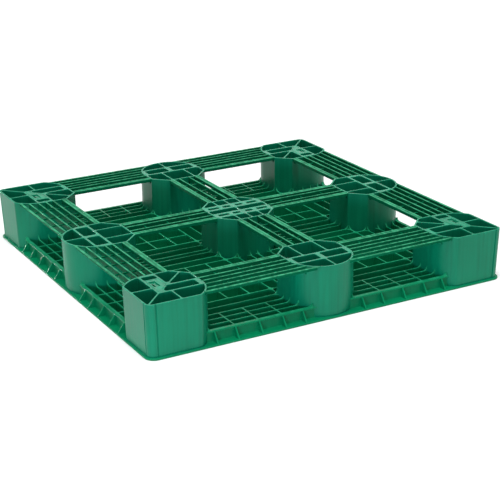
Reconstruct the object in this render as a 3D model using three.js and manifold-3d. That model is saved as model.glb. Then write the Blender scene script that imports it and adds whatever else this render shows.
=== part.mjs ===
// Plastic pallet with nine hollow blocks, four-way entry and a windowed base frame.
// Millimetres. X and Y run along the sides, and the origin is at the centre of the load face.
// The pallet lies on its load face: +Z points from the load face (z = 0) to the feet (z = 150).
import * as THREE from 'three';
import { mergeVertices } from 'three/addons/utils/BufferGeometryUtils.js';
import Module from 'manifold-3d';

const wasm = await Module();
wasm.setup();

// ---- Driving dimensions --------------------------------------------------------------------

const SIDE = 1100; // load face, both ways
const HEIGHT = 150; // load face to feet
const GAP = 0.3; // between neighbouring pieces
const EMBED = 1; // how far shapes reach into each other where they join

// Deck
const DECK_CORNER_R = 29;
const PLATE = 3.6; // closed load plate
const DECK_RIB_TOP = 36.5; // free edges of the ribs, where fork tines bear
const DECK_RIB = 4.2; // rib thickness
const EDGE_WALL = 524; // centre line to the wall along each fork opening
const LIP_TOP = 36; // flat lip on that wall
const LIP_HALF = 6;
const LIP_THICK = 4;
const GUSSETS = [93, 154, 224, 294, 355]; // along each opening, from the side's middle
const LANE_LINES = [92, 158, 224, 290, 356]; // grid of ribs over the fork lanes
const CENTRE_LINES = [12, 52]; // ribs between the middle blocks
const OUTER_LINES = [396.5, 433.5, 463.5, 493.5]; // ribs between the outer blocks
const STATIONS = [154, 224, 294]; // cross ribs of the outer rows and of the runners

// Blocks
const WALL = 5;
const RIB = 4.6;
const FOOT_FACE = 547.6; // centre line to a block's outer face, at the foot
const LEAN = 4.6; // how far that face stands back at the load face
const BLOCK_HALF = 94; // half width of the centre block and the side blocks
const LANE_FAR = 353; // centre line to the inner flanks of the outer blocks
const CHAMFER = 42; // legs of the blocks' cut corners
const CORNER_R = 20; // outer corner of the pallet
const SWEEP_FROM = 465; // where a corner block's flank starts to curve, and its face to lean
const SWEEP_R = 99.5;
const GROOVE_AT = 527; // line between corner column and face panel
const GROOVE_WIDE = 4.5;
const GROOVE_DEEP = 2.5;

// Runners of the base frame: open gratings of rails with low cross ribs
const RUNNER_LOW = 140;
const RAIL_LOW = 135; // the inner rails go deeper than the members around them
const KEEL = [397.7, 413.7]; // flat inner lip of an outer runner
const OUTER_RAIL = [530, 537];
const OUTER_WEB = 2.4; // the outer rail is an angle: a web on its inner side under a flange
const OUTER_FLANGE = 2.5;
const RAILS = [440, 463, 486.5, 511.5];
const RAIL = 4.8;
const CROSS_LIP = [35.4, 51.4]; // flat lips of a cross runner
const CROSS_RAIL = 17;
const STATION_TOP = 144; // cross ribs stop below the feet
const RUNNER_SPAN = [-470, -20]; // runs into the blocks at both ends
const CROSS_SPAN = [-370, -80];

const DARK_GREEN = 0x0f7f5b;
const LIGHT_GREEN = 0x2f9a74;

// ---- Geometry helpers ----------------------------------------------------------------------

// A closed three.js geometry as a solid that can be joined and cut.
function toSolid(geometry) {
  const bare = geometry.clone().deleteAttribute('normal').deleteAttribute('uv');
  const merged = mergeVertices(bare, 1e-4);
  return new wasm.Manifold(new wasm.Mesh({
    numProp: 3,
    vertProperties: Float32Array.from(merged.attributes.position.array),
    triVerts: Uint32Array.from(merged.index.array),
  }));
}

function toGeometry(solid) {
  const mesh = solid.getMesh();
  const geometry = new THREE.BufferGeometry();
  geometry.setAttribute('position', new THREE.BufferAttribute(mesh.vertProperties, 3));
  geometry.setIndex(new THREE.BufferAttribute(mesh.triVerts, 1));
  geometry.computeVertexNormals();
  return geometry;
}

function joined(solids) {
  return solids.reduce((whole, next) => whole.add(next));
}

// A straight bar between two corners.
function bar([x0, x1], [y0, y1], [z0, z1]) {
  const box = new THREE.BoxGeometry(x1 - x0, y1 - y0, z1 - z0);
  return toSolid(box.translate((x0 + x1) / 2, (y0 + y1) / 2, (z0 + z1) / 2));
}

// A wall of the given thickness along a plan line from a to b.
function wall([ax, ay], [bx, by], thick, [z0, z1]) {
  const box = new THREE.BoxGeometry(Math.hypot(bx - ax, by - ay), thick, z1 - z0);
  box.rotateZ(Math.atan2(by - ay, bx - ax));
  return toSolid(box.translate((ax + bx) / 2, (ay + by) / 2, (z0 + z1) / 2));
}

function extruded(points, [z0, z1]) {
  const shape = new THREE.Shape(points);
  const geometry = new THREE.ExtrudeGeometry(shape, { depth: z1 - z0, bevelEnabled: false });
  return geometry.translate(0, 0, z0);
}

const prism = (points, span) => toSolid(extruded(points, span));

// A prism whose outer faces stand further back towards the load face. The part of it within
// SWEEP_FROM of the centre lines stays upright.
function leaning(points, span) {
  const geometry = extruded(points, span);
  const { position } = geometry.attributes;
  for (let i = 0; i < position.count; i += 1) {
    const back = (LEAN * (HEIGHT - position.getZ(i))) / HEIGHT;
    const shifted = (u) => {
      const share = (Math.abs(u) - SWEEP_FROM) / (FOOT_FACE - SWEEP_FROM);
      return u - Math.sign(u) * back * Math.max(0, share);
    };
    position.setXY(i, shifted(position.getX(i)), shifted(position.getY(i)));
  }
  return toSolid(geometry);
}

function arc(cx, cy, r, fromDeg, toDeg, steps) {
  const points = [];
  for (let i = 0; i <= steps; i += 1) {
    const angle = THREE.MathUtils.degToRad(fromDeg + ((toDeg - fromDeg) * i) / steps);
    points.push(new THREE.Vector2(cx + r * Math.cos(angle), cy + r * Math.sin(angle)));
  }
  return points;
}

const point = (x, y) => new THREE.Vector2(x, y);
const rectangle = ([x0, x1], [y0, y1]) => [point(x0, y0), point(x1, y0), point(x1, y1), point(x0, y1)];
const around = (middle, thick) => [middle - thick / 2, middle + thick / 2];
const mirrored = ([low, high]) => [-high, -low];
const past = ([low, high]) => [low - EMBED, high + EMBED];

// ---- Block outlines ------------------------------------------------------------------------
// Each outline is drawn for the block at the front (-Y), or at the front left (-X, -Y), moved
// inwards by an inset; a negative inset gives the clearance that the neighbours keep.

// A 45 degree cut corner keeps its direction as it moves, so its legs shrink by this much.
const CHAMFER_SHRINK = 2 - Math.SQRT2;

function sideOutline(inset) {
  const half = BLOCK_HALF - inset;
  const inner = -LANE_FAR - inset;
  const leg = CHAMFER - inset * CHAMFER_SHRINK;
  const arcY = BLOCK_HALF - FOOT_FACE;
  return [
    point(half, inner - leg),
    point(half - leg, inner),
    point(leg - half, inner),
    point(-half, inner - leg),
    ...arc(0, arcY, half, 180, 360, 16),
  ];
}

function cornerOutline(inset) {
  const face = FOOT_FACE - inset;
  const inner = LANE_FAR + inset;
  const leg = CHAMFER - inset * CHAMFER_SHRINK;
  const r = SWEEP_R - inset;
  const sweep = THREE.MathUtils.radToDeg(Math.asin((face - SWEEP_FROM) / r));
  const sweepX = LANE_FAR + SWEEP_R;
  const cornerAt = FOOT_FACE - CORNER_R;
  return [
    point(-inner, -inner - leg),
    point(-inner - leg, -inner),
    ...arc(-SWEEP_FROM, -sweepX, r, 90, 90 + sweep, 6),
    ...arc(-cornerAt, -cornerAt, CORNER_R - inset, 180, 270, 4),
    ...arc(-sweepX, -SWEEP_FROM, r, -sweep, 0, 6),
  ];
}

function centreOutline(inset) {
  const half = BLOCK_HALF - inset;
  const leg = CHAMFER - inset * CHAMFER_SHRINK;
  return [
    point(half, leg - half), point(half, half - leg),
    point(half - leg, half), point(leg - half, half),
    point(-half, half - leg), point(-half, leg - half),
    point(leg - half, -half), point(half - leg, -half),
  ];
}

// ---- Blocks --------------------------------------------------------------------------------

const BLOCK_Z = [PLATE + GAP, HEIGHT];
const PAST_Z = past([0, HEIGHT]);
const RIB_Z = past(PAST_Z); // a rib that is kept out of a hollow reaches past both its ends
const SHELF = [138, 142]; // carries the tag plate
const PLATE_Z = [SHELF[1] + GAP, HEIGHT];

// A block is a whole prism less its hollow, and the hollow is less by the ribs that cross it.
function hollowBlock(outline, ribs) {
  const hollow = leaning(outline(WALL), PAST_Z).subtract(joined(ribs));
  return leaning(outline(0), BLOCK_Z).subtract(hollow);
}

// Two ribs cross the side block and hold a pair of rectangular pockets between them.
const POCKET_RIBS = [441.5, 486];
const POCKET_RIB = 7;
const POCKET_X = [7.5, 79]; // either side of the middle
const INNER_RIB_AT = 38; // short ribs from the pockets to the inner flank

function sideBlock() {
  const [near, far] = POCKET_RIBS;
  const across = [-BLOCK_HALF, BLOCK_HALF];
  const strip = [-far, -near];
  return hollowBlock(sideOutline, [
    bar(across, around(-near, POCKET_RIB), RIB_Z),
    bar(across, around(-far, POCKET_RIB), RIB_Z),
    bar([-BLOCK_HALF, -POCKET_X[1]], strip, RIB_Z),
    bar([POCKET_X[1], BLOCK_HALF], strip, RIB_Z),
    bar([-POCKET_X[0], POCKET_X[0]], strip, RIB_Z),
    bar(around(0, RIB), [-FOOT_FACE, -far], RIB_Z),
    bar(around(-INNER_RIB_AT, RIB), [-near, -LANE_FAR], RIB_Z),
    bar(around(INNER_RIB_AT, RIB), [-near, -LANE_FAR], RIB_Z),
  ]);
}

// Inside a corner block a strip runs along Y between two ribs. It holds an open hole at its
// inner end and the tag plate next to it; a pocket runs off it along X.
const STRIP_X = [-488, -438];
const STRIP_RIB = 6;
const HOLE_Y = [-388, -365];
const STRIP_END = -482;
const STRIP_TURN = [-466, -465]; // where the strip narrows
const POCKET_CLOSED = -368; // inner end of the pocket
const SIDE_RIB_AT = -446; // short ribs from the outer faces to the strip and the pocket
const FRONT_RIB_AT = -450;

function cornerBlock() {
  const [stripLow, stripHigh] = STRIP_X;
  const leftRib = [stripLow, stripLow + STRIP_RIB];
  const rightRib = [stripHigh - STRIP_RIB, stripHigh];
  const strip = [leftRib[1] - EMBED, rightRib[0] + EMBED];
  const pocketSide = -POCKET_RIBS[0];
  const pocketCorner = [rightRib[0], pocketSide];
  const stripCorner = [stripLow + STRIP_RIB / 2, STRIP_END];
  const outer = -FOOT_FACE;
  const chamferMiddle = -LANE_FAR - CHAMFER / 2;
  const ribs = [
    bar(leftRib, [STRIP_END, -LANE_FAR], RIB_Z),
    bar(rightRib, [pocketSide, -LANE_FAR], RIB_Z),
    bar(strip, [HOLE_Y[1], -LANE_FAR], RIB_Z),
    bar(strip, [HOLE_Y[0] - STRIP_RIB, HOLE_Y[0]], RIB_Z),
    bar([rightRib[0], -LANE_FAR], around(pocketSide, STRIP_RIB), RIB_Z),
    bar([stripLow, -LANE_FAR], around(STRIP_END, STRIP_RIB), RIB_Z),
    bar([POCKET_CLOSED, -LANE_FAR], [STRIP_END, pocketSide], RIB_Z),
    wall(pocketCorner, STRIP_TURN, RIB, RIB_Z),
    wall(STRIP_TURN, [STRIP_TURN[0], STRIP_END], RIB, RIB_Z),
    wall(pocketCorner, [chamferMiddle, chamferMiddle], RIB, RIB_Z),
    wall(stripCorner, [outer, outer], RIB, RIB_Z),
    bar([outer, stripLow + EMBED], around(SIDE_RIB_AT, RIB), RIB_Z),
    bar(around(FRONT_RIB_AT, RIB), [outer, STRIP_END], RIB_Z),
    bar(strip, [STRIP_END, HOLE_Y[0] - EMBED], SHELF).subtract(prism([
      point(rightRib[1] + EMBED, pocketSide - EMBED), point(...STRIP_TURN),
      point(STRIP_TURN[0], STRIP_END - EMBED), point(rightRib[1] + EMBED, STRIP_END - EMBED),
    ], RIB_Z)),
  ];
  const groove = [-GROOVE_AT, GROOVE_WIDE - GROOVE_AT];
  const depth = [outer - EMBED, outer + GROOVE_DEEP];
  return hollowBlock(cornerOutline, ribs)
    .subtract(leaning(rectangle(groove, depth), PAST_Z))
    .subtract(leaning(rectangle(depth, groove), PAST_Z));
}

// A small plate lies on the shelf of each corner block, with a recess and a slot.
const RECESS = { x: [-478, -460], y: [-440, -404], deep: 3 };
const SLOT = { x: [-474.5, -469.5], y: [-437, -415] };

function tagPlate() {
  const edge = RIB / 2 + GAP;
  const low = STRIP_X[0] + STRIP_RIB + GAP;
  const high = STRIP_X[1] - STRIP_RIB - GAP;
  const top = HOLE_Y[0] - STRIP_RIB - GAP;
  const end = STRIP_END + STRIP_RIB / 2 + GAP;
  const turn = STRIP_TURN[0] - edge;
  // One side runs along the slanted rib between the pocket's corner and the strip's turn.
  const run = STRIP_X[1] - STRIP_RIB - STRIP_TURN[0];
  const slope = (-POCKET_RIBS[0] - STRIP_TURN[1]) / run;
  const slanted = (x) => STRIP_TURN[1] + (x - STRIP_TURN[0]) * slope + edge * Math.hypot(1, slope);
  const outline = [
    point(low, top), point(low, end), point(turn, end),
    point(turn, slanted(turn)), point(high, slanted(high)), point(high, top),
  ];
  const recess = bar(RECESS.x, RECESS.y, [HEIGHT - RECESS.deep, PAST_Z[1]]);
  const slot = bar(SLOT.x, SLOT.y, PAST_Z);
  return prism(outline, PLATE_Z).subtract(recess).subtract(slot);
}

// The centre block carries on the lines of the cross runners along X. Over each line, caps at
// the foot bridge a pair of ribs, with four small holes in each cap.
const CAP_HOLES = [[-80, -45], [-32, -8], [9, 32], [47, 80]];
const CAP_HOLE_Y = [25, 38.5];
const CAP_LINE = [13.5, 51];
const CAP_RIM = 6;
const CAP_DEPTH = 22;

function centreBlock() {
  const across = [-BLOCK_HALF, BLOCK_HALF];
  const beyond = [CAP_LINE[1] - EMBED, BLOCK_HALF];
  const capZ = [HEIGHT - CAP_DEPTH, RIB_Z[1]];
  const lines = [
    [CAP_LINE[0], CAP_LINE[0] + CAP_RIM, RIB_Z],
    [CAP_LINE[1] - CAP_RIM, CAP_LINE[1], RIB_Z],
    [CAP_LINE[0] + EMBED, CAP_LINE[1] - EMBED, capZ],
  ];
  const block = hollowBlock(centreOutline, [
    bar(around(0, RIB), across, RIB_Z),
    ...[-INNER_RIB_AT, INNER_RIB_AT].flatMap((x) => [
      bar(around(x, RIB), beyond, RIB_Z), bar(around(x, RIB), mirrored(beyond), RIB_Z),
    ]),
    ...lines.flatMap(([low, high, z]) => [
      bar(across, [low, high], z), bar(across, [-high, -low], z),
    ]),
  ]);
  const holes = CAP_HOLES.flatMap((x) => (
    [CAP_HOLE_Y, mirrored(CAP_HOLE_Y)].map((y) => bar(x, y, PAST_Z))
  ));
  return block.subtract(joined(holes));
}

// ---- Runners -------------------------------------------------------------------------------

const RUNNER_Z = [RAIL_LOW, HEIGHT];
const OPEN_FROM = RAIL_LOW - EMBED;
const UNDER_Z = [OPEN_FROM, RUNNER_LOW];
const PAST_TOP = HEIGHT + EMBED;

// Clearance prisms of the blocks that the front left runners meet.
const nearCorner = leaning(cornerOutline(-GAP), PAST_Z);
const nearSide = leaning(sideOutline(-GAP), PAST_Z);
const nearCentre = prism(centreOutline(-GAP), PAST_Z);

// The opening between two rails of a runner along X, stepped up over the cross ribs.
function opening([from, to], [y0, y1]) {
  const profile = [point(from, PAST_TOP), point(from, OPEN_FROM)];
  for (const station of [...STATIONS].reverse()) {
    const [low, high] = around(-station, RAIL);
    profile.push(point(low, OPEN_FROM), point(low, STATION_TOP));
    profile.push(point(high, STATION_TOP), point(high, OPEN_FROM));
  }
  profile.push(point(to, OPEN_FROM), point(to, PAST_TOP));
  const shape = new THREE.Shape(profile);
  const geometry = new THREE.ExtrudeGeometry(shape, { depth: y1 - y0, bevelEnabled: false });
  return geometry.rotateX(Math.PI / 2).translate(0, y1, 0);
}

// The strips beside a runner's inner rails, where nothing goes below RUNNER_LOW.
function besideRails(rails, [from, to]) {
  const edges = [from - EMBED, ...rails.flat(), to + EMBED];
  return [...rails, null].map((_, i) => [edges[2 * i], edges[2 * i + 1]]);
}

// The runner along the front, between the left corner block and the front block.
function outerRunner() {
  const inner = RAILS.map((y) => around(y, RAIL));
  const rails = [KEEL, ...inner, OUTER_RAIL];
  let runner = bar(RUNNER_SPAN, mirrored([KEEL[0], OUTER_RAIL[1]]), RUNNER_Z);
  for (let i = 1; i < rails.length; i += 1) {
    const across = mirrored([rails[i - 1][1], rails[i][0]]);
    runner = runner.subtract(toSolid(opening(past(RUNNER_SPAN), across)));
  }
  for (const strip of besideRails(inner, [KEEL[0], OUTER_RAIL[1]])) {
    runner = runner.subtract(bar(past(RUNNER_SPAN), mirrored(strip), UNDER_Z));
  }
  const underFlange = bar(
    past(RUNNER_SPAN),
    mirrored([OUTER_RAIL[0] + OUTER_WEB, OUTER_RAIL[1] + EMBED]),
    [OPEN_FROM, HEIGHT - OUTER_FLANGE],
  );
  return runner.subtract(underFlange).subtract(nearCorner).subtract(nearSide);
}

// The runner between the front block and the centre block.
function crossRunner() {
  const inner = [around(-CROSS_RAIL, RAIL), around(CROSS_RAIL, RAIL)];
  const rails = [mirrored(CROSS_LIP), ...inner, CROSS_LIP];
  let runner = bar([-CROSS_LIP[1], CROSS_LIP[1]], CROSS_SPAN, RUNNER_Z);
  for (let i = 1; i < rails.length; i += 1) {
    const across = mirrored([rails[i - 1][1], rails[i][0]]);
    runner = runner.subtract(toSolid(opening(past(CROSS_SPAN), across).rotateZ(Math.PI / 2)));
  }
  for (const strip of besideRails(inner, [-CROSS_LIP[1], CROSS_LIP[1]])) {
    runner = runner.subtract(bar(strip, past(CROSS_SPAN), UNDER_Z));
  }
  return runner.subtract(nearSide).subtract(nearCentre);
}

// ---- Deck ----------------------------------------------------------------------------------

const SLAB_Z = [PLATE - EMBED, DECK_RIB_TOP];
const LIP_Z = [LIP_TOP - LIP_THICK, LIP_TOP];
const INTO_BLOCKS = [30, 400]; // the outer rows run on into the blocks between these
const GUSSET_FOOT = 1.5; // from the plate's edge, and the gusset's height there
const SIGNS = [[-1, -1], [1, -1], [-1, 1], [1, 1]];

const quarterTurned = (points, quarters) => points.map((p) => (
  p.clone().rotateAround(point(0, 0), (quarters * Math.PI) / 2)
));

// The plan of all nine blocks with their clearance.
function footprints() {
  const clear = [centreOutline(-GAP)];
  for (let quarters = 0; quarters < 4; quarters += 1) {
    clear.push(quarterTurned(sideOutline(-GAP), quarters));
  }
  for (const [sx, sy] of SIGNS) {
    clear.push(cornerOutline(-GAP).map((p) => point(sx * p.x, sy * p.y)));
  }
  return clear.map((points) => leaning(points, PAST_Z));
}

// The clear widths between neighbouring rib lines.
function between(lines) {
  return lines.slice(1).map((line, i) => [lines[i] + DECK_RIB / 2, line - DECK_RIB / 2]);
}

// The cells between the deck's ribs, in plan, for one quadrant. Cells next to a block run on
// into its footprint, so that the ribs end on the block.
function quadrantCells() {
  const [laneNear, laneFar] = [LANE_LINES[0], LANE_LINES.at(-1)];
  const lane = [laneNear + DECK_RIB / 2, laneFar - DECK_RIB / 2];
  const square = between(LANE_LINES);
  const middle = between([-CENTRE_LINES[0], ...CENTRE_LINES, laneNear]);
  const wide = between([laneFar, OUTER_LINES[0], OUTER_LINES[1]]);
  const narrow = between([...OUTER_LINES.slice(1), EDGE_WALL]);
  const stations = between([INTO_BLOCKS[0], ...STATIONS, INTO_BLOCKS[1]]);
  const byBlock = [CENTRE_LINES[1] - DECK_RIB / 2, laneNear - DECK_RIB / 2];
  const pastLane = [laneFar + DECK_RIB / 2, OUTER_LINES[0] + DECK_RIB / 2];
  const swapped = [
    ...[...middle, ...wide].map((y) => [lane, y]),
    ...narrow.flatMap((y) => stations.map((x) => [x, y])),
    [byBlock, pastLane],
  ];
  return [
    ...square.flatMap((x) => square.map((y) => [x, y])),
    ...swapped,
    ...swapped.map(([x, y]) => [y, x]),
    [byBlock, byBlock],
    [pastLane, pastLane],
  ];
}

// A triangular rib from the plate's edge up to the lip, at a distance along a fork opening.
function gusset(along, quarters) {
  const foot = -SIDE / 2 + GUSSET_FOOT;
  const underLip = LIP_Z[0] + LIP_THICK / 2;
  const outline = new THREE.Shape([
    point(foot, SLAB_Z[0]),
    point(-EDGE_WALL, SLAB_Z[0]),
    point(-EDGE_WALL, underLip),
    point(-EDGE_WALL - LIP_HALF + EMBED, underLip),
    point(foot, PLATE + GUSSET_FOOT),
  ]);
  const geometry = new THREE.ExtrudeGeometry(outline, { depth: DECK_RIB, bevelEnabled: false });
  geometry.rotateX(Math.PI / 2).rotateZ(Math.PI / 2);
  geometry.translate(along - DECK_RIB / 2, 0, 0);
  return toSolid(geometry.rotateZ((quarters * Math.PI) / 2));
}

function plate() {
  const at = SIDE / 2 - DECK_CORNER_R;
  return prism([
    ...arc(at, at, DECK_CORNER_R, 0, 90, 5),
    ...arc(-at, at, DECK_CORNER_R, 90, 180, 5),
    ...arc(-at, -at, DECK_CORNER_R, 180, 270, 5),
    ...arc(at, -at, DECK_CORNER_R, 270, 360, 5),
  ], [0, PLATE]);
}

function squareBar(half, z) {
  return bar([-half, half], [-half, half], z);
}

function deckPanel() {
  let ribs = squareBar(EDGE_WALL + DECK_RIB / 2, SLAB_Z);
  for (const [sx, sy] of SIGNS) {
    for (const [x, y] of quadrantCells()) {
      ribs = ribs.subtract(bar(sx < 0 ? mirrored(x) : x, sy < 0 ? mirrored(y) : y, PAST_Z));
    }
  }
  ribs = ribs.add(squareBar(EDGE_WALL + LIP_HALF, LIP_Z)
    .subtract(squareBar(EDGE_WALL - LIP_HALF, PAST_Z)));
  for (let quarters = 0; quarters < 4; quarters += 1) {
    for (const along of GUSSETS) {
      ribs = ribs.add(gusset(along, quarters)).add(gusset(-along, quarters));
    }
  }
  for (const footprint of footprints()) {
    ribs = ribs.subtract(footprint);
  }
  return ribs.add(plate());
}

// ---- Assembly ------------------------------------------------------------------------------

const pallet = new THREE.Group();
pallet.name = 'pallet';

function addPiece(name, geometry, colour, turn = 0, flip = [1, 1]) {
  const material = new THREE.MeshStandardMaterial({ color: colour, roughness: 0.45, metalness: 0 });
  const piece = new THREE.Mesh(geometry, material);
  piece.name = name;
  piece.rotation.z = (turn * Math.PI) / 2;
  piece.scale.set(flip[0], flip[1], 1);
  pallet.add(piece);
}

addPiece('deck_panel', toGeometry(deckPanel()), DARK_GREEN);
addPiece('centre_block', toGeometry(centreBlock()), LIGHT_GREEN);

// The sides in order of quarter turns from the front.
const SIDES = ['front', 'right', 'back', 'left'];
const sideBlockGeometry = toGeometry(sideBlock());
const crossRunnerGeometry = toGeometry(crossRunner());
const outerRunnerGeometry = toGeometry(outerRunner());
SIDES.forEach((side, turn) => {
  const before = SIDES[(turn + 3) % 4];
  const after = SIDES[(turn + 1) % 4];
  addPiece(`${side}_block`, sideBlockGeometry, LIGHT_GREEN, turn);
  addPiece(`cross_runner_${side}`, crossRunnerGeometry, LIGHT_GREEN, turn);
  addPiece(`runner_${side}_${before}`, outerRunnerGeometry, LIGHT_GREEN, turn);
  addPiece(`runner_${side}_${after}`, outerRunnerGeometry, LIGHT_GREEN, turn, [-1, 1]);
});

const cornerBlockGeometry = toGeometry(cornerBlock());
const tagPlateGeometry = toGeometry(tagPlate());
for (const flip of SIGNS.map(([sx, sy]) => [-sx, -sy])) {
  const corner = `${flip[1] > 0 ? 'front' : 'back'}_${flip[0] > 0 ? 'left' : 'right'}`;
  addPiece(`corner_block_${corner}`, cornerBlockGeometry, LIGHT_GREEN, 0, flip);
  addPiece(`tag_plate_${corner}`, tagPlateGeometry, LIGHT_GREEN, 0, flip);
}

export default pallet;
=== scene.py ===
"""A green plastic pallet, underside up: moulded shapes and finishes around the CAD frame."""

import math

import bpy
from mathutils import Matrix, Vector


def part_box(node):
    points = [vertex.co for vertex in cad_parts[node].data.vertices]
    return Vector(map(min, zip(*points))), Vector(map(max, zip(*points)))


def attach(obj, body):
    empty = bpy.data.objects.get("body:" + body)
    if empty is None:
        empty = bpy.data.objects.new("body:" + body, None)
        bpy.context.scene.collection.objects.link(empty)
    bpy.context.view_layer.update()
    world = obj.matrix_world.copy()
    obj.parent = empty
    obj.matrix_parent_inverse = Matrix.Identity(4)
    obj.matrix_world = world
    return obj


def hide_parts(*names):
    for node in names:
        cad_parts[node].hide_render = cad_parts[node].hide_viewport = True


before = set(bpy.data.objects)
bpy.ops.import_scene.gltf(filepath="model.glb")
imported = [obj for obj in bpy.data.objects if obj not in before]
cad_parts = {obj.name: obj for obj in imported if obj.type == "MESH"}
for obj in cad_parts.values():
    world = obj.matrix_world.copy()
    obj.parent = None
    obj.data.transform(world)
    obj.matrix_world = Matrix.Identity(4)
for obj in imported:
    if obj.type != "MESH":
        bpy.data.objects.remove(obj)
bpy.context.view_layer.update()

# ---- Sizes in millimetres, from the frame where it has them -------------------------------------

MM = 0.001


def corners_of(node):
    """A CAD node's lowest and highest corner at rest, in millimetres."""
    low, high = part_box(node)
    return low / MM, high / MM


DECK_HALF = corners_of("deck_panel")[1].x
RIB_TOP = corners_of("deck_panel")[1].z
HEIGHT = corners_of("centre_block")[1].z
BLOCK_HALF = corners_of("centre_block")[1].x
FOOT_FACE = -corners_of("corner_block_front_left")[0].x  # the blocks' outer faces, at the feet
LANE_FAR = -corners_of("corner_block_front_left")[1].x
RAIL_LOW = corners_of("runner_front_left")[0].z
RAIL_FACE = -corners_of("runner_front_left")[0].y
KEEL_FACE = -corners_of("runner_front_left")[1].y
CROSS_HALF = corners_of("cross_runner_front")[1].x
SHELF_TOP = corners_of("tag_plate_front_left")[0].z

# Deck
PLATE = 3.6
FLANGE = 5  # the plate's thickness outside the lip
DECK_CORNER_R = 28
DECK_RIB = 4.2
LANE_LINES = [92 + 66 * k for k in range(5)]  # ribs under the windows
CENTRE_LINES = [12, 52]
OUTER_LINES = [396.5, 433.5, 463.5, 493.5]
STATIONS = [154, 224, 294]  # short ribs across the outer ones, on the deck and the runners
GUSSETS = [93, *STATIONS, 355]
EDGE_CELLS_END = 518.3  # at the lip's wall
INTO_BLOCKS = [30, 400]  # cells next to a block run on into it as far as this
LIP_LINE = 524
LIP_WIDE = 12
LIP_EDGE = LIP_LINE + LIP_WIDE / 2
LIP_TOP = 36
LIP_LOW = 31.8

# Blocks
WALL = 5
RIB = 4.6
CHAMFER = 42
CHAMFER_R = 5
CORNER_R = 20
SWEEP_FROM = 465
SWEEP_R = 99.5
SWEEP_FILLET = 15
GROOVE_AT = 527
GROOVE_WIDE = 4.5
GROOVE_DEEP = 2.6
GROOVE_SLOPE = 0.7
POCKET_RIBS = [441.5, 486]
POCKET_RIB = 7
POCKET_X = [7.5, 79]
POCKET_R = 5
INNER_RIB_AT = 38
STRIP_X = [-488, -438]  # the tag plate's seat, with the ribs beside it
STRIP_RIB = 6
HOLE_Y = [-388, -365]
HOLE_R = 2.5
STRIP_END = -482
STRIP_TURN = [-466, -465]
POCKET_CLOSED = -368
SIDE_RIB_AT = -446
FRONT_RIB_AT = -450
CAP_HOLES = [[-80, -45], [-32, -8], [9, 32], [47, 80]]  # the centre block's small holes
CAP_HOLE_Y = [25, 38.5]
CAP_LINE = [13.5, 51]
PLATE_RIM = 0.8
PLATE_RECESS = {"x": [-478, -460], "y": [-440, -404], "corner": 2, "rim": 0.6, "draft": 0.3, "deep": 3}
PLATE_SLOT = {"x": [-474.5, -469.5], "y": [-437, -415], "corner": 1.5, "draft": 0.2}

# Runners
LIP_DEEP = 10  # the flat lips and the outer rail; the inner rails go deeper
RUNNER_LOW = HEIGHT - LIP_DEEP
KEEL_WIDE = 16
OUTER_RAIL_WIDE = 7
OUTER_WEB = 2.4
OUTER_FLANGE = 2.6
RAILS = [440, 463, 486.5, 511.5]
RAIL = 4.8
CROSS_RAIL = 17
STATION_TOP = 144
STATION_RAISED = 0.2  # above the lips' undersides
STATION_REACH = 3  # how far the cross ribs run into the lips
WEB_REACH = 1  # how far they run into the outer rail's web
WEB_BELOW_TOP = 1.2  # the web ends inside the flange
WEB_RIM = 0.4
UNDER_FLANGE = {"at": 2.8, "thick": 3}  # the fillet under the outer rail's flange
RIM_LAP = 0.4  # how far it runs up into the flange
FIN_OFF_WALL = 0.2  # how far outside a block's outline a rail's fillet starts
OUTER_SPAN = (80 - FOOT_FACE, -20)  # the rails' uncut ends, inside the blocks
CROSS_SPAN = (177 - FOOT_FACE, -80)
KEEL_GROOVE = {"wide": 4, "deep": 0.9, "slope": 1}

# Moulding
RIM = 1.0  # rounding of free edges
RIB_RIM = 0.7
GUSSET_RIM = 0.8
DECK_RIM = 0.9
FIN_R = {"rib": 12.0, "lip": 8.0, "rail": 9.0, "flange": 7}  # fillets on the blocks' walls
FIN_ROOT = 1.5  # how deep a fillet stands in its rib
RIB_FIN_THINNER = 0.4  # how much thinner a fillet is than its rib
LIP_FIN_THINNER = 1
RAIL_FIN_THINNER = 0.6
WIDEST_RAIL_FIN = 8
DRAFT = 1.8  # how far the blocks' outer walls spread from foot to deck
LEAN = 6.4  # how far the faces along the pallet's sides stand back at the deck
SKIRT = 3.2  # how far the blocks' lowest part on the flange reaches out
CREASE = {"top": FLANGE + 2.6, "low": FLANGE + 0.4, "deep": 1.3, "slope": 0.7}  # above the skirt
POCKET_DRAFT = 1.3
DECK_DRAFT = 0.5
DECK_FILLET = 2.0
DECK_FILLET_BEND = 0.3 * DECK_FILLET
JOINT_R = 3  # where the deck's ribs cross
BRACES = [{"up_to": 10, "radius": 14}, {"up_to": 32, "radius": 10}]  # the same close to a block
EMBED = 2.2  # how deep ribs and rails run into the blocks' walls
GAP = 0.3  # below the tag plates
SUNK = 0.3  # how deep the blocks stand in the deck's plate
PAST = 1  # how far a cutter reaches past what it cuts
HAIR = 0.1  # keeps two surfaces out of one plane

# ---- Outlines in plan ---------------------------------------------------------------------------
# A loop is a list of points, counterclockwise. A point's third number says how far it is sunk
# below the outline, as in a groove.


def at(x, y, sunk=0.0):
    return Vector((x, y, sunk))


def arc(cx, cy, r, start, end, steps):
    angles = [math.radians(start + (end - start) * k / steps) for k in range(steps + 1)]
    return [at(cx + r * math.cos(a), cy + r * math.sin(a)) for a in angles]


def rectangle(x, y):
    return [at(x[0], y[0]), at(x[1], y[0]), at(x[1], y[1]), at(x[0], y[1])]


def around(middle, wide):
    """The span of a width about its middle."""
    return [middle - wide / 2, middle + wide / 2]


def mirrored(span):
    return [-span[1], -span[0]]


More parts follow.
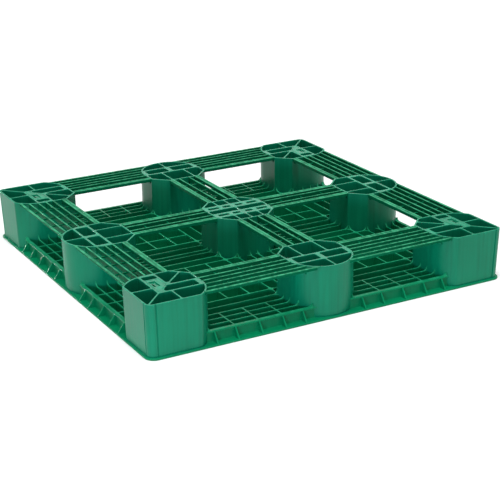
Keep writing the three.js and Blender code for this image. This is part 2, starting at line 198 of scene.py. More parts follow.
def turned(loop, quarters, flip=(1, 1)):
    """The loop flipped in X or Y, then turned about the pallet's middle."""
    spin = Matrix.Rotation(quarters * math.pi / 2, 4, "Z") @ Matrix.Diagonal((*flip, 1, 1))
    moved = [spin @ point for point in loop]
    return moved if flip[0] * flip[1] > 0 else moved[::-1]


def inset_ring(loop, inset):
    """The loop moved inwards by inset, and each point by what it is sunk as well."""
    ring = []
    for before, here, after in zip(loop[-1:] + loop[:-1], loop, loop[1:] + loop[:1]):
        arriving = (here - before).xy.normalized()
        leaving = (after - here).xy.normalized()
        inward = Vector((-arriving.y - leaving.y, arriving.x + leaving.x))
        ring.append(here.xy + inward * (inset + here.z) / (1 + arriving.dot(leaving)))
    return ring


def inset_loop(loop, inset):
    """The same as a loop with nothing sunk."""
    return [at(p.x, p.y) for p in inset_ring(loop, inset)]


def rounded(loop, radii, steps=3):
    """The loop with an arc in place of each sharp corner. Gentle turns stay as they are."""
    gentle = math.radians(75)
    longest = 0.45
    if not isinstance(radii, list):
        radii = [radii] * len(loop)
    result = []
    for i, corner in enumerate(loop):
        back = loop[i - 1] - corner
        ahead = loop[(i + 1) % len(loop)] - corner
        half = back.angle(ahead) / 2
        if half > gentle:
            result.append(corner)
            continue
        reach = min(radii[i] / math.tan(half), longest * min(back.length, ahead.length))
        radius = reach * math.tan(half)
        middle = (back.normalized() + ahead.normalized()).normalized()
        centre = corner + middle * radius / math.sin(half)
        arm = corner + back.normalized() * reach - centre
        side = 1 if back.xy.cross(ahead.xy) < 0 else -1
        for k in range(steps + 1):
            spin = Matrix.Rotation(side * (math.pi - 2 * half) * k / steps, 3, "Z")
            result.append(centre + spin @ arm)
    return result


def beyond(loop, start, end, gap=0.0):
    """The part of a convex loop on the left of a line, kept clear of it by the gap."""
    along = (Vector(end) - Vector(start)).normalized()
    normal = Vector((-along.y, along.x))
    heights = [(p.xy - Vector(start)).dot(normal) - gap for p in loop]
    result = []
    for i, point in enumerate(loop):
        if (heights[i - 1] < 0) != (heights[i] < 0):
            share = heights[i - 1] / (heights[i - 1] - heights[i])
            result.append(loop[i - 1].lerp(point, share))
        if heights[i] >= 0:
            result.append(point)
    return result


def within(loop, x=(None, None), y=(None, None)):
    """The part of a convex loop between limits in X and Y."""
    if x[0] is not None:
        loop = beyond(loop, (x[0], 1), (x[0], 0))
    if x[1] is not None:
        loop = beyond(loop, (x[1], 0), (x[1], 1))
    if y[0] is not None:
        loop = beyond(loop, (0, y[0]), (1, y[0]))
    if y[1] is not None:
        loop = beyond(loop, (1, y[1]), (0, y[1]))
    return loop


def crossings(loop, axis, value):
    """Where a line across the loop at a value of one axis meets it, along the other axis."""
    other = 1 - axis
    found = []
    for i, point in enumerate(loop):
        before = loop[i - 1]
        if (before[axis] < value) != (point[axis] < value):
            share = (value - before[axis]) / (point[axis] - before[axis])
            found.append(before[other] + share * (point[other] - before[other]))
    return sorted(found)


def side_outline():
    """The front block."""
    leg = BLOCK_HALF - CHAMFER
    inner = [
        at(BLOCK_HALF, -LANE_FAR - CHAMFER), at(leg, -LANE_FAR),
        at(-leg, -LANE_FAR), at(-BLOCK_HALF, -LANE_FAR - CHAMFER),
    ]
    bow = arc(0, BLOCK_HALF - FOOT_FACE, BLOCK_HALF, 180, 360, 36)
    return rounded(inner + bow, CHAMFER_R)


def groove(place):
    """Four points of a groove across a straight stretch; place(t) is the point at distance t."""
    bottom = (GROOVE_SLOPE, GROOVE_WIDE - GROOVE_SLOPE)
    steps = [(0, 0), (bottom[0], GROOVE_DEEP), (bottom[1], GROOVE_DEEP), (GROOVE_WIDE, 0)]
    points = []
    for t, sunk in steps:
        point = place(t)
        point.z = sunk
        points.append(point)
    return points


def corner_outline():
    """The front left block, with a groove on each face beside the outer corner."""
    middle = LANE_FAR + SWEEP_R
    drop = FOOT_FACE - SWEEP_FROM - SWEEP_FILLET
    run = math.sqrt((SWEEP_R - SWEEP_FILLET) ** 2 - drop ** 2)
    meet = math.degrees(math.atan2(drop, run))
    column = FOOT_FACE - CORNER_R
    fillet_x = -middle + run
    fillet_y = -FOOT_FACE + SWEEP_FILLET
    front = [
        *groove(lambda t: at(-GROOVE_AT + t, -FOOT_FACE)),
        *arc(fillet_x, fillet_y, SWEEP_FILLET, -90, -meet, 4),
        *arc(-middle, -SWEEP_FROM, SWEEP_R, -meet, 0, 12)[1:],
        at(-LANE_FAR, -LANE_FAR - CHAMFER),
    ]
    left = [at(p.y, p.x, p.z) for p in reversed(front)]
    return left + arc(-column, -column, CORNER_R, 180, 270, 8) + front


def centre_outline():
    """The centre block, an octagon."""
    leg = BLOCK_HALF - CHAMFER
    quarter = [at(BLOCK_HALF, -leg), at(BLOCK_HALF, leg)]
    loop = [point for quarters in range(4) for point in turned(quarter, quarters)]
    return rounded(loop, CHAMFER_R)


SIDE_LOOP = side_outline()
CORNER_LOOP = corner_outline()
CENTRE_LOOP = centre_outline()
SIDES = ["front", "right", "back", "left"]
FLIPS = {"front_left": (1, 1), "front_right": (-1, 1), "back_left": (1, -1), "back_right": (-1, -1)}
BLOCK_LOOPS = {
    "centre": CENTRE_LOOP,
    **{side: turned(SIDE_LOOP, quarters) for quarters, side in enumerate(SIDES)},
    **{corner: turned(CORNER_LOOP, 0, flip) for corner, flip in FLIPS.items()},
}

# ---- Solids -------------------------------------------------------------------------------------


class Solid:
    """Vertices in millimetres and faces that close around them."""

    def __init__(self):
        self.points = []
        self.faces = []

    def ring(self, loop, inset, z):
        """Adds the loop's points, moved inwards, at one height."""
        first = len(self.points)
        self.points += [Vector((p.x, p.y, z)) for p in inset_ring(loop, inset)]
        return list(range(first, len(self.points)))

    def skin(self, upper, lower):
        """Joins two rings with faces."""
        for i in range(len(upper)):
            self.faces.append([upper[i - 1], lower[i - 1], lower[i], upper[i]])

    def moved(self, matrix):
        self.points = [matrix @ point for point in self.points]
        return self

    def add(self, other):
        shift = len(self.points)
        self.points += other.points
        self.faces += [[index + shift for index in face] for face in other.faces]
        return self


def moulded(loop, profile):
    """A closed solid from a loop in plan and a profile of (inset, z) from its top down."""
    solid = Solid()
    rings = [solid.ring(loop, inset, z) for inset, z in profile]
    for upper, lower in zip(rings, rings[1:]):
        solid.skin(upper, lower)
    solid.faces += [rings[0], rings[-1][::-1]]
    return solid


def hollows(loops, profile, radius):
    """What is cut from a solid to leave cells with these outlines."""
    found = Solid()
    for loop in loops:
        found.add(moulded(rounded(loop, radius), profile))
    return found


def rim_profile(top, radius):
    """A rounded free edge round an outline."""
    angles = [math.radians(a) for a in (90, 45, 0)]
    return [(radius * (1 - math.cos(a)), top - radius * (1 - math.sin(a))) for a in angles]


def mouth_profile(top, radius):
    """A cell's rounded mouth. Its first slope carries on a little above the surface that it cuts."""
    mouth = [(-inset, z) for inset, z in rim_profile(top, radius)]
    above = 0.3
    slope = math.radians(22.5)
    mouth[0] = (-radius - above / math.tan(slope), top + above)
    return mouth


def bar(loop, low, high, rim):
    """A solid between two heights with both its ends' edges rounded."""
    upper = rim_profile(high, rim)
    lower = [(inset, low + high - z) for inset, z in reversed(upper)]
    return moulded(loop, upper + lower)


def upright(loop, thick, rim):
    """A plate that stands in the XZ plane, centred on Y = 0; its loop gives X and Z."""
    return bar(loop, -thick / 2, thick / 2, rim).moved(Matrix.Rotation(math.pi / 2, 4, "X"))


def mesh_of(solid, name="part"):
    mesh = bpy.data.meshes.new(name)
    mesh.from_pydata([point * MM for point in solid.points], [], solid.faces)
    return mesh


def combined(mesh, *steps):
    """The mesh after each step, which is UNION or DIFFERENCE with a solid."""
    body = bpy.data.objects.new("body", mesh)
    bpy.context.scene.collection.objects.link(body)
    for operation, solid in steps:
        tool = bpy.data.objects.new("tool", mesh_of(solid))
        bpy.context.scene.collection.objects.link(tool)
        modifier = body.modifiers.new("join", "BOOLEAN")
        modifier.solver = "MANIFOLD"
        modifier.operation = operation
        modifier.object = tool
        graph = bpy.context.evaluated_depsgraph_get()
        result = bpy.data.meshes.new_from_object(body.evaluated_get(graph))
        body.modifiers.clear()
        body.data = result
        bpy.data.objects.remove(tool)
    mesh = body.data
    bpy.data.objects.remove(body)
    return mesh


# ---- Blocks -------------------------------------------------------------------------------------

# Profiles of (inset, height) from the top down.
MOUTH = mouth_profile(HEIGHT, RIM)
POCKET = [*MOUTH, (POCKET_DRAFT, 0)]
SHELF_COVE = 0.5
SHELF = [*MOUTH, (HAIR, SHELF_TOP + SHELF_COVE), (HAIR + SHELF_COVE, SHELF_TOP - GAP)]
BLOCK_SIDE = [
    *rim_profile(HEIGHT, RIM),
    (-DRAFT, CREASE["top"]),
    (CREASE["deep"] - DRAFT, CREASE["top"] - CREASE["slope"]),
    (CREASE["deep"] - DRAFT, CREASE["low"]),
    (-DRAFT - SKIRT, FLANGE - HAIR),
    (-DRAFT - SKIRT, PLATE - SUNK),
]


def lean(point):
    """Moves a block's point, in metres, back with the block's faces along the pallet's sides."""
    height = HEIGHT * MM
    back = LEAN * MM * (height - point.z) / height
    for axis in (0, 1):
        share = (abs(point[axis]) / MM - SWEEP_FROM) / (FOOT_FACE - SWEEP_FROM)
        point[axis] -= math.copysign(back * max(0, share), point[axis])
    return point


def pocketed(outline, *cuts):
    """A block's mesh with cells cut into it; each cut is (loops, profile, corner radius)."""
    steps = [("DIFFERENCE", hollows(*cut)) for cut in cuts]
    mesh = combined(mesh_of(moulded(outline, BLOCK_SIDE)), *steps)
    for vertex in mesh.vertices:
        vertex.co = lean(vertex.co)
    return mesh


def side_block():
    """The front block: two pockets between ribs, and cells before and behind them."""
    inner = inset_loop(SIDE_LOOP, WALL)
    near, far = POCKET_RIBS
    half = RIB / 2
    pocket_y = (-far + POCKET_RIB / 2, -near - POCKET_RIB / 2)
    front = within(inner, y=(None, -far - POCKET_RIB / 2))
    back = within(inner, y=(-near + POCKET_RIB / 2, None))
    cells = [
        rectangle(POCKET_X, pocket_y),
        rectangle(mirrored(POCKET_X), pocket_y),
        within(front, x=(half, None)),
        within(front, x=(None, -half)),
        within(back, x=(None, -INNER_RIB_AT - half)),
        within(back, x=(half - INNER_RIB_AT, INNER_RIB_AT - half)),
        within(back, x=(INNER_RIB_AT + half, None)),
    ]
    return pocketed(SIDE_LOOP, (cells, POCKET, POCKET_R))


def centre_block():
    """Rows of cells, with bands of small holes between them."""
    inner = inset_loop(CENTRE_LOOP, WALL)
    half = RIB / 2
    columns = [
        (None, -INNER_RIB_AT - half), (half - INNER_RIB_AT, -half),
        (half, INNER_RIB_AT - half), (INNER_RIB_AT + half, None),
    ]
    rows = [(CAP_LINE[1], None), (None, -CAP_LINE[1])]
    middle = (-CAP_LINE[0], CAP_LINE[0])
    cells = [within(inner, x=x, y=y) for x in columns for y in rows]
    cells += [within(inner, x=(half, None), y=middle), within(inner, x=(None, -half), y=middle)]
    holes = [rectangle(x, y) for x in CAP_HOLES for y in (CAP_HOLE_Y, mirrored(CAP_HOLE_Y))]
    return pocketed(CENTRE_LOOP, (cells, POCKET, POCKET_R), (holes, POCKET, HOLE_R))


def strip_loop(clear):
    """The tag plate's seat, kept clear of the ribs around it; it narrows at its outer end."""
    left = STRIP_X[0] + STRIP_RIB + clear
    right = STRIP_X[1] - STRIP_RIB - clear
    turn = STRIP_TURN[0] - RIB / 2 - clear
    end = STRIP_END + STRIP_RIB / 2 + clear
    top = HOLE_Y[0] - STRIP_RIB - clear
    slope = (-POCKET_RIBS[0] - STRIP_TURN[1]) / (STRIP_X[1] - STRIP_RIB - STRIP_TURN[0])
    lift = (RIB / 2 + clear) * math.hypot(1, slope)
    slanted = [at(x, STRIP_TURN[1] + (x - STRIP_TURN[0]) * slope + lift) for x in (turn, right)]
    return [at(left, top), at(left, end), at(turn, end), *slanted, at(right, top)]


def corner_block():
    """The front left block. Its grooves don't show inside."""
    inner = inset_loop([at(p.x, p.y) for p in CORNER_LOOP], WALL)
    half = RIB / 2
    strip_half = STRIP_RIB / 2
    pocket_corner = (STRIP_X[1] - STRIP_RIB, -POCKET_RIBS[0])
    strip_corner = (STRIP_X[0] + strip_half, STRIP_END)
    outer = (-FOOT_FACE, -FOOT_FACE)
    chamfer = (-LANE_FAR - CHAMFER / 2, -LANE_FAR - CHAMFER / 2)
    left = within(inner, x=(None, STRIP_X[0]))
    front = within(inner, y=(None, STRIP_END - strip_half))
    inward = within(inner, x=(STRIP_X[1], None), y=(pocket_corner[1] + strip_half, None))
    pocket = rectangle(
        (STRIP_TURN[0] + half, POCKET_CLOSED),
        (STRIP_END + strip_half, pocket_corner[1] - strip_half),
    )
    cells = [
        within(left, y=(SIDE_RIB_AT + half, None)),
        beyond(within(left, y=(None, SIDE_RIB_AT - half)), outer, strip_corner, half),
        beyond(within(front, x=(None, FRONT_RIB_AT - half)), strip_corner, outer, half),
        within(front, x=(FRONT_RIB_AT + half, None)),
        beyond(pocket, pocket_corner, STRIP_TURN, half),
        rectangle((STRIP_X[0] + STRIP_RIB, STRIP_X[1] - STRIP_RIB), HOLE_Y),
        beyond(inward, pocket_corner, chamfer, half),
        beyond(inward, chamfer, pocket_corner, half),
    ]
    return pocketed(CORNER_LOOP, (cells, POCKET, POCKET_R), ([strip_loop(0)], SHELF, HOLE_R))


def tag_plate():
    """The front left plate, with a recess and a slot through it."""
    side = [*rim_profile(HEIGHT, PLATE_RIM), (0, SHELF_TOP)]
    body = moulded(rounded(strip_loop(GAP), HOLE_R - GAP), side)
    recess, slot = PLATE_RECESS, PLATE_SLOT
    sunk = [*mouth_profile(HEIGHT, recess["rim"]), (recess["draft"], HEIGHT - recess["deep"])]
    through = [(0, HEIGHT + PAST), (slot["draft"], SHELF_TOP - PAST)]
    cuts = [
        hollows([rectangle(recess["x"], recess["y"])], sunk, recess["corner"]),
        hollows([rectangle(slot["x"], slot["y"])], through, slot["corner"]),
    ]
    return combined(mesh_of(body), *[("DIFFERENCE", cut) for cut in cuts])


# ---- Ribs' ends ---------------------------------------------------------------------------------


def fin(r, top, thick, up=True):
    """A concave fillet between a rib's edge and the wall it ends on. X runs away from the wall."""
    curve = [(p.x, p.y) for p in arc(r, top + r, r, 270, 180, 6)]
    loop = [(-EMBED, top - FIN_ROOT), (r, top - FIN_ROOT), *curve, (-EMBED, top + r)]
    points = [at(x, z if up else 2 * top - z) for x, z in loop]
    return upright(points if up else points[::-1], thick, RIB_RIM)


def quarter_turn(quarters):
    return Matrix.Rotation(quarters * math.pi / 2, 4, "Z")


def placed(solid, x, y, degrees):
    """The solid turned about its own Z axis and then moved."""
    spin = Matrix.Rotation(math.radians(degrees), 4, "Z")
    return solid.moved(Matrix.Translation((x, y, 0)) @ spin)


# ---- Deck ---------------------------------------------------------------------------------------


def between(lines):
    """The spans between the ribs on these lines."""
    return [(a + DECK_RIB / 2, b - DECK_RIB / 2) for a, b in zip(lines, lines[1:])]


def quadrant_cells():
    """The cells between the ribs for X, Y > 0. Those next to a block run on into its outline."""
    near, far = LANE_LINES[0], LANE_LINES[-1]
    lane = (near + DECK_RIB / 2, far - DECK_RIB / 2)
    square = between(LANE_LINES)
    middle = between([-CENTRE_LINES[0], *CENTRE_LINES, near])
    wide = between([far, *OUTER_LINES[:2]])
    narrow = between(OUTER_LINES[1:])
    narrow.append((OUTER_LINES[-1] + DECK_RIB / 2, EDGE_CELLS_END))
    stations = between([INTO_BLOCKS[0], *STATIONS, INTO_BLOCKS[1]])
    by_block = (CENTRE_LINES[1] - DECK_RIB / 2, near - DECK_RIB / 2)
    past_lane = (far + DECK_RIB / 2, OUTER_LINES[0] + DECK_RIB / 2)
    swapped = [(lane, y) for y in middle + wide]
    swapped += [(x, y) for y in narrow for x in stations]
    swapped.append((by_block, past_lane))
    return [
        *[(x, y) for x in square for y in square],
        *swapped,
        *[(y, x) for x, y in swapped],
        (by_block, by_block),
        (past_lane, past_lane),
    ]


def clearance(loop, x, y):
    """How far a point lies outside a convex loop; negative inside."""
    reach = []
    for before, here in zip(loop[-1:] + loop[:-1], loop):
        along = (here - before).xy.normalized()
        reach.append(along.y * (x - here.x) - along.x * (y - here.y))
    return max(reach)


def joint_radius(x, y):
    """The ribs' crossings are rounded more where they brace a block."""
    clear = min(clearance(loop, x, y) for loop in BLOCK_LOOPS.values())
    close, near = BRACES
    if clear < 0 or clear > near["up_to"]:
        return JOINT_R
    return close["radius"] if clear < close["up_to"] else near["radius"]


def deck_cells():
    """All cells; those on the middle lines are found twice and kept once."""
    found = {}
    for sx, sy in FLIPS.values():
        for x, y in quadrant_cells():
            x = x if sx > 0 else mirrored(x)
            y = y if sy > 0 else mirrored(y)
            found[round(sum(x), 1) + 0.0, round(sum(y), 1) + 0.0] = (x, y)
    return list(found.values())


def rib_ends(make, lines, reach, cells=()):
    """Fins wherever straight ribs on these lines, along X and along Y, end on a block."""
    look_ahead = 5
    spread = 0.8 * DRAFT
    ends = Solid()
    for line in [sign * line for line in lines for sign in (1, -1)]:
        for loop in BLOCK_LOOPS.values():
            for axis in (0, 1):
                for sign, place in zip((-1, 1), crossings(loop, axis, line)):
                    spot = [line, line]
                    spot[1 - axis] = place + sign * (DRAFT + look_ahead)
                    x, y = spot
                    in_cell = any(a < x < b and c < y < d for (a, b), (c, d) in cells)
                    if in_cell or abs(spot[1 - axis]) > reach:
                        continue
                    spot[1 - axis] = place + sign * spread
                    turn = 90 * (1 - axis) + (180 if sign < 0 else 0)
                    ends.add(placed(make(), *spot, turn))
    return ends


def gussets():
    """Triangular ribs from the plate's edge up to the lip, five on each fork opening."""
    lap = 1
    toe = 0.5
    wall = LIP_LINE + lap
    foot = DECK_HALF - 1.4
    edge = LIP_EDGE - 0.6
    rise = [
        at(wall, PLATE), at(foot, PLATE), at(foot, FLANGE + toe),
        at(edge, LIP_LOW + lap), at(wall, LIP_LOW + lap),
    ]
    found = Solid()
    for quarters in range(4):
        for along in [sign * line for line in GUSSETS for sign in (1, -1)]:
            gusset = placed(upright(rise, DECK_RIB, GUSSET_RIM), 0, along, 0)
            found.add(gusset.moved(quarter_turn(quarters)))
    return found


# From the ribs over the lip and down its wall to the flange, as (place, height).
DECK_EDGE = [
    (LIP_EDGE - 11.4, RIB_TOP), (LIP_EDGE - 10, RIB_TOP - 0.1), (LIP_EDGE - 3, LIP_TOP),
    (LIP_EDGE - 0.9, LIP_TOP - 0.7), (LIP_EDGE, LIP_TOP - 2.2), (LIP_EDGE - 0.1, LIP_LOW + 0.7),
    (LIP_EDGE - 1, LIP_LOW), (LIP_LINE + 2.1, LIP_LOW - 0.3), (LIP_LINE + 2.6, FLANGE + 3),
    (LIP_LINE + 3.4, FLANGE + 1), (LIP_LINE + 5.6, FLANGE), (DECK_HALF - 1, FLANGE),
    (DECK_HALF, FLANGE - 1), (DECK_HALF, 1), (DECK_HALF - 0.7, 0.2), (DECK_HALF - 1.4, 0),
]
DECK_CELL = [
    *mouth_profile(RIB_TOP, DECK_RIM), (DECK_DRAFT, PLATE + DECK_FILLET),
    (DECK_DRAFT + DECK_FILLET_BEND, PLATE + DECK_FILLET_BEND), (DECK_DRAFT + DECK_FILLET, PLATE),
]


def block_cutters():
    """What the ribs and rails leave free for the blocks' walls, for each block."""
    profile = [(EMBED, HEIGHT + PAST), (EMBED - DRAFT, PLATE - HAIR)]
    cutters = {name: moulded(loop, profile) for name, loop in BLOCK_LOOPS.items()}
    for cutter in cutters.values():
        cutter.points = [lean(point * MM) / MM for point in cutter.points]
    return cutters


def deck_panel():
    straight = DECK_HALF - DECK_CORNER_R
    outline = [
        point for quarters in range(4)
        for point in turned(arc(straight, straight, DECK_CORNER_R, 0, 90, 8), quarters)
    ]
    cells = deck_cells()
    hollow = Solid()
    for x, y in cells:
        loop = rectangle(x, y)
        loop = rounded(loop, [joint_radius(p.x, p.y) for p in loop], 4)
        hollow.add(moulded(loop, DECK_CELL))
    slab = moulded(outline, [(DECK_HALF - u, z) for u, z in DECK_EDGE])
    lines = LANE_LINES + CENTRE_LINES + OUTER_LINES
    rib_fin = (FIN_R["rib"], RIB_TOP, DECK_RIB - RIB_FIN_THINNER)
    lip_fin = (FIN_R["lip"], LIP_TOP, LIP_WIDE - LIP_FIN_THINNER)
    ends = rib_ends(lambda: fin(*rib_fin), lines, LIP_EDGE - LIP_WIDE, cells)
    ends.add(rib_ends(lambda: fin(*lip_fin), [LIP_LINE], LIP_LINE))
    cuts = [("DIFFERENCE", cutter) for cutter in [hollow, *block_cutters().values()]]
    return combined(mesh_of(slab), *cuts, ("UNION", gussets()), ("UNION", ends))


# ---- Runners ------------------------------------------------------------------------------------


def members(span, rows, loop_start, loop_end):
    """Rails along X between two blocks; each row is (y, width, underside). With their fillets."""
    solids = [bar(rectangle(span, around(y, wide)), low, HEIGHT, RIM) for y, wide, low in rows]
    for y, wide, low in rows:
        start = crossings(loop_start, 1, y)[-1] + FIN_OFF_WALL
        end = crossings(loop_end, 1, y)[0] - FIN_OFF_WALL
        thick = min(wide, WIDEST_RAIL_FIN) - RAIL_FIN_THINNER
        flares = placed(fin(FIN_R["rail"], low, thick, False), start, y, 0)
        flares.add(placed(fin(FIN_R["rail"], low, thick, False), end, y, 180))
        solids.append(flares)
    return solids


def station_ribs(across):
    """The low ribs across a runner."""
    low = RUNNER_LOW + STATION_RAISED
    return [bar(rectangle(around(-x, RAIL), across), low, STATION_TOP, RIB_RIM) for x in STATIONS]


def runner(solids, grooves, cutters):
    """The solids in one mesh, with grooves in its lips and room for the blocks at its ends."""
    first, *rest = solids
    steps = [("UNION", solid) for solid in rest]
    steps += [("DIFFERENCE", solid) for solid in grooves + cutters]
    return combined(mesh_of(first), *steps)


def keel_groove(along, middle):
    """The shallow groove along a flat lip's top."""
    side = KEEL_GROOVE["slope"] / 2
    loop = rectangle(along, around(middle, KEEL_GROOVE["wide"]))
    past = (-side - HAIR, HEIGHT + PAST)
    return moulded(loop, [past, (-side, HEIGHT), (side, HEIGHT - KEEL_GROOVE["deep"])])


def outer_rail(span, corner):
    """An angle: a flange over a web, with a fillet under the flange at the corner block."""
    inner = OUTER_RAIL_WIDE - RAIL_FACE
    flange_low = HEIGHT - OUTER_FLANGE
    rail = bar(rectangle(span, (-RAIL_FACE, inner)), flange_low, HEIGHT, RIM)
    web_y = (inner - OUTER_WEB, inner - HAIR)
    web = bar(rectangle(span, web_y), RUNNER_LOW, HEIGHT - WEB_BELOW_TOP, WEB_RIM)
    under = -RAIL_FACE + UNDER_FLANGE["at"]
    start = crossings(corner, 1, under)[-1] + FIN_OFF_WALL
    fillet = fin(FIN_R["flange"], flange_low + RIM_LAP, UNDER_FLANGE["thick"], False)
    return [rail, web, placed(fillet, start, under, 0)]


def outer_runner():
    """The front runner on the left."""
    span = OUTER_SPAN
    keel = -KEEL_FACE - KEEL_WIDE / 2
    corner, side = BLOCK_LOOPS["front_left"], BLOCK_LOOPS["front"]
    rows = [(keel, KEEL_WIDE, RUNNER_LOW)] + [(-y, RAIL, RAIL_LOW) for y in RAILS]
    solids = members(span, rows, corner, side)
    web = OUTER_RAIL_WIDE - OUTER_WEB - RAIL_FACE
    solids += station_ribs((web + WEB_REACH, -KEEL_FACE - STATION_REACH))
    solids += outer_rail(span, corner)
    cutters = block_cutters()
    return runner(solids, [keel_groove(span, keel)], [cutters["front_left"], cutters["front"]])


def cross_runner():
    """The runner between the front block and the centre block, drawn along X and then turned."""
    span = CROSS_SPAN
    lip = CROSS_HALF - KEEL_WIDE / 2
    rows = [(y, KEEL_WIDE, RUNNER_LOW) for y in (lip, -lip)]
    rows += [(y, RAIL, RAIL_LOW) for y in (CROSS_RAIL, -CROSS_RAIL)]
    solids = members(span, rows, BLOCK_LOOPS["left"], BLOCK_LOOPS["centre"])
    solids += station_ribs((STATION_REACH - CROSS_HALF, CROSS_HALF - STATION_REACH))
    cutters = block_cutters()
    grooves = [keel_groove(span, lip), keel_groove(span, -lip)]
    mesh = runner(solids, grooves, [cutters["left"], cutters["centre"]])
    mesh.transform(quarter_turn(1))
    return mesh


# ---- Finishes -----------------------------------------------------------------------------------


class Nodes:
    """A material's node tree, with short ways to add nodes and links."""

    def __init__(self, name):
        self.material = bpy.data.materials.new(name)
        self.material.use_nodes = True
        self.tree = self.material.node_tree
        self.shader = self.tree.nodes["Principled BSDF"]
        self.place = self.add("ShaderNodeTexCoord").outputs["Object"]

    def add(self, kind, values=None, **settings):
        node = self.tree.nodes.new(kind)
        for key, value in settings.items():
            setattr(node, key, value)
        for key, value in (values or {}).items():
            self.put(node.inputs[key], value)
        return node

    def put(self, socket, value):
        if isinstance(value, bpy.types.NodeSocket):
            self.tree.links.new(value, socket)
        else:
            socket.default_value = value

    def noise(self, scale, detail=2.0, stretch=(1, 1, 1)):
        scaled = self.add("ShaderNodeMapping", {"Vector": self.place, "Scale": stretch})
        values = {"Vector": scaled.outputs[0], "Scale": scale, "Detail": detail}
        return self.add("ShaderNodeTexNoise", values).outputs["Fac"]

    def ramp(self, value, low, high, to=(0, 1)):
        values = {"Value": value, "From Min": low, "From Max": high, "To Min": to[0], "To Max": to[1]}
        return self.add("ShaderNodeMapRange", values).outputs[0]

    def math(self, operation, *values):
        return self.add("ShaderNodeMath", dict(enumerate(values)), operation=operation).outputs[0]

    def mix(self, share, first, second):
        values = {0: share, 6: first, 7: second}
        return self.add("ShaderNodeMix", values, data_type="RGBA").outputs[2]


def plastic(name, deep, pale, worn_and_sheen, sheen_and_wear_up_to, gloss):
    """Moulded polypropylene: mottled colour, soft gloss, fine grain, and a paler band at the top,
    partly wear and partly painted sheen on the top faces.
    """
    nodes = Nodes(name)
    streaks = nodes.noise(scale=110, detail=3, stretch=(1, 1, 0.03))
    mottle = nodes.math("ADD", nodes.noise(scale=5, detail=3), streaks)
    colour = nodes.mix(nodes.ramp(mottle, 0.8, 1.2), (*deep, 1), (*pale, 1))

    height = nodes.add("ShaderNodeSeparateXYZ", {0: nodes.place}).outputs[2]
    # The paler band just under the top height, broken up by noise: partly wear, partly painted sheen
    # on the top faces.
    scuff_and_sheen_patches = nodes.ramp(nodes.noise(scale=90, detail=4, stretch=(1, 0.35, 1)), 0.42, 0.62, (0.25, 1))
    starts, full = sheen_and_wear_up_to - 1.3, sheen_and_wear_up_to - 0.2
    edge = nodes.ramp(height, starts * MM, full * MM)
    wear_and_sheen = nodes.math("MULTIPLY", edge, scuff_and_sheen_patches)
    nodes.put(nodes.shader.inputs["Base Color"], nodes.mix(wear_and_sheen, colour, (*worn_and_sheen, 1)))

    rough = nodes.ramp(streaks, 0.3, 0.7, (0.3, 0.42))
    duller = nodes.math("MULTIPLY", wear_and_sheen, 0.12)
    nodes.put(nodes.shader.inputs["Roughness"], nodes.math("ADD", rough, duller))

    waves = nodes.math("MULTIPLY", nodes.noise(scale=40, detail=2), 2.0)
    grain = nodes.math("ADD", nodes.noise(scale=900, detail=2), waves)
    bump = nodes.add("ShaderNodeBump", {"Strength": 0.12, "Distance": 0.0006, "Height": grain})
    nodes.put(nodes.shader.inputs["Normal"], bump.outputs[0])
    nodes.shader.inputs["IOR"].default_value = 1.49
    nodes.shader.inputs["Specular IOR Level"].default_value = gloss
    return nodes.material


# Its paler band on the feet is partly wear, partly painted sheen on the top faces.
BLOCK_PLASTIC = plastic(
    "block_plastic",
    deep=(0.0004, 0.165, 0.084),
    pale=(0.0008, 0.208, 0.106),
    worn_and_sheen=(0.015, 0.29, 0.16),
    sheen_and_wear_up_to=HEIGHT,
    gloss=0.2,
)
# Darker than the blocks' plastic, as painted shade in the gaps between the rails; its paler band is
# brighter still, painted sheen on the rails' tops.
RUNNER_PLASTIC = plastic(
    "runner_plastic",
    deep=(0.0003, 0.11, 0.047),
    pale=(0.0006, 0.14, 0.06),
    worn_and_sheen=(0.05, 0.36, 0.185),
    sheen_and_wear_up_to=HEIGHT,
    gloss=0.02,
)
# Its paler band on the ribs' tops is painted sheen.
DECK_PLASTIC = plastic(
    "deck_plastic",
    deep=(0.0004, 0.16, 0.066),
    pale=(0.0008, 0.195, 0.08),
    worn_and_sheen=(0.015, 0.29, 0.14),
    sheen_and_wear_up_to=RIB_TOP,
    gloss=0.1,
)


def smooth(mesh):
    """Smooth shading, with edges kept sharp where faces meet at more than a gentle angle."""
    gentle = math.radians(21)
    mesh.polygons.foreach_set("use_smooth", [True] * len(mesh.polygons))
    mesh.set_sharp_from_angle(angle=gentle)


def show(name, mesh, node, material):
    """Makes the mesh a piece of the pallet, in place of a CAD node."""
    smooth(mesh)
    mesh.name = name
    mesh.materials.clear()
    mesh.materials.append(material)
    piece = bpy.data.objects.new(name, mesh)
    bpy.context.scene.collection.objects.link(piece)
    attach(piece, "root")
    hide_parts(node)


def moved_mesh(mesh, matrix):
    """A copy of a mesh in its place; a mirrored copy keeps its faces turned outwards."""
    copy = mesh.copy()
    copy.transform(matrix)
    if matrix.determinant() < 0:
        copy.flip_normals()
    return copy


# ---- The pallet ---------------------------------------------------------------------------------

show("deck", deck_panel(), "deck_panel", DECK_PLASTIC)
show("centre", centre_block(), "centre_block", BLOCK_PLASTIC)

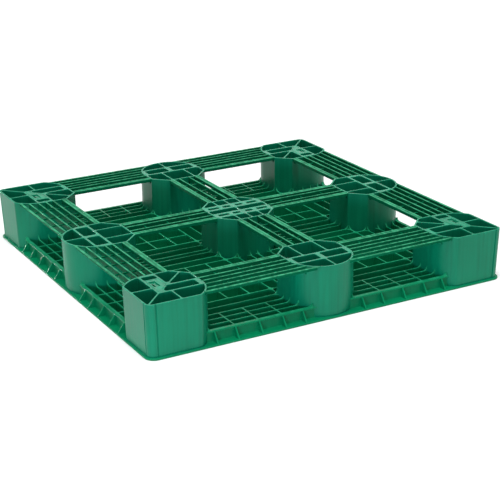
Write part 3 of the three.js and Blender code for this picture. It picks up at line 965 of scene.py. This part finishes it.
MIRROR = Matrix.Diagonal((-1, 1, 1, 1))
side_mesh = side_block()
cross_mesh = cross_runner()
runner_mesh = outer_runner()
for quarters, side in enumerate(SIDES):
    turn = quarter_turn(quarters)
    before = SIDES[quarters - 1]
    after = SIDES[(quarters + 1) % 4]
    middle = moved_mesh(side_mesh, turn)
    cross = moved_mesh(cross_mesh, turn)
    show(f"{side}_middle", middle, f"{side}_block", BLOCK_PLASTIC)
    show(f"{side}_cross", cross, f"cross_runner_{side}", RUNNER_PLASTIC)
    for toward, matrix in [(before, turn), (after, turn @ MIRROR)]:
        name = f"{side}_{toward}_rails"
        rails = moved_mesh(runner_mesh, matrix)
        show(name, rails, f"runner_{side}_{toward}", RUNNER_PLASTIC)

corner_mesh = corner_block()
plate_mesh = tag_plate()
for corner, flip in FLIPS.items():
    matrix = Matrix.Diagonal((*flip, 1, 1))
    block = moved_mesh(corner_mesh, matrix)
    plate = moved_mesh(plate_mesh, matrix)
    show(f"{corner}_corner", block, f"corner_block_{corner}", BLOCK_PLASTIC)
    show(f"{corner}_plate", plate, f"tag_plate_{corner}", BLOCK_PLASTIC)

# ---- Studio, in metres --------------------------------------------------------------------------


def floor():
    nodes = Nodes("floor")
    nodes.shader.inputs["Base Color"].default_value = (0.84, 0.84, 0.84, 1)
    nodes.shader.inputs["Roughness"].default_value = 0.9
    nodes.shader.inputs["Specular IOR Level"].default_value = 0.1
    mesh = bpy.data.meshes.new("floor")
    half = 30
    corners = [(-half, -half, 0), (half, -half, 0), (half, half, 0), (-half, half, 0)]
    mesh.from_pydata(corners, [], [(0, 1, 2, 3)])
    mesh.materials.append(nodes.material)
    ground = bpy.data.objects.new("floor", mesh)
    bpy.context.scene.collection.objects.link(ground)


def lamp(name, place, target, size, power, colour=(1, 1, 1)):
    """A rectangle of light that faces the target."""
    light = bpy.data.lights.new(name, "AREA")
    light.shape = "RECTANGLE"
    light.size, light.size_y = size
    light.energy = power
    light.color = colour
    made = bpy.data.objects.new(name, light)
    bpy.context.scene.collection.objects.link(made)
    aim = (Vector(target) - Vector(place)).to_track_quat("-Z", "Y")
    made.matrix_world = Matrix.Translation(place) @ aim.to_matrix().to_4x4()
    return light


def sun(name, place, strength, spread):
    """Light from the direction of a place; the spread is in degrees."""
    light = bpy.data.lights.new(name, "SUN")
    light.energy = strength
    light.angle = math.radians(spread)
    made = bpy.data.objects.new(name, light)
    made.rotation_euler = Vector(place).to_track_quat("Z", "Y").to_euler()
    bpy.context.scene.collection.objects.link(made)


def studio():
    world = bpy.data.worlds.new("studio")
    world.use_nodes = True
    background = world.node_tree.nodes["Background"]
    background.inputs["Color"].default_value = (1, 1, 1, 1)
    background.inputs["Strength"].default_value = 0.4
    bpy.context.scene.world = world
    middle = (0, 0, 0.1)
    left_face = (-0.56, -0.5, 0.075)
    teal = (0.35, 0.8, 1)
    sun("overhead", (-0.08, -0.15, 1), strength=3.1, spread=25)
    lamp("back_softbox", (2.0, 3.8, 1.7), middle, size=(2.4, 1.0), power=22)
    beam = lamp("back_left_beam", (-1.3, 2.6, 0.14), left_face, size=(1.0, 0.2), power=0.6)
    beam.spread = math.radians(14)
    lamp("front_left_strip", (-2.2, -2.4, 0.25), middle, size=(0.3, 0.4), power=32, colour=teal)
    bpy.context.scene.view_settings.view_transform = "Standard"


def camera():
    """A long lens from the front left, turned by its heading, then its tilt, then its roll."""
    place = (-1.81428, -3.40619, 1.44403)
    heading = -28.652
    tilt = 90 - 20.295
    roll = -0.979
    data = bpy.data.cameras.new("camera")
    data.sensor_width = 36
    data.lens = 99.45
    data.shift_x = -0.0044
    data.shift_y = 0.0004
    data.clip_end = 100
    made = bpy.data.objects.new("camera", data)
    bpy.context.scene.collection.objects.link(made)
    made.matrix_world = Matrix.Translation(place)
    for degrees, axis in [(heading, "Z"), (tilt, "X"), (roll, "Z")]:
        made.matrix_world = made.matrix_world @ Matrix.Rotation(math.radians(degrees), 4, axis)
    bpy.context.scene.camera = made


floor()
studio()
camera()
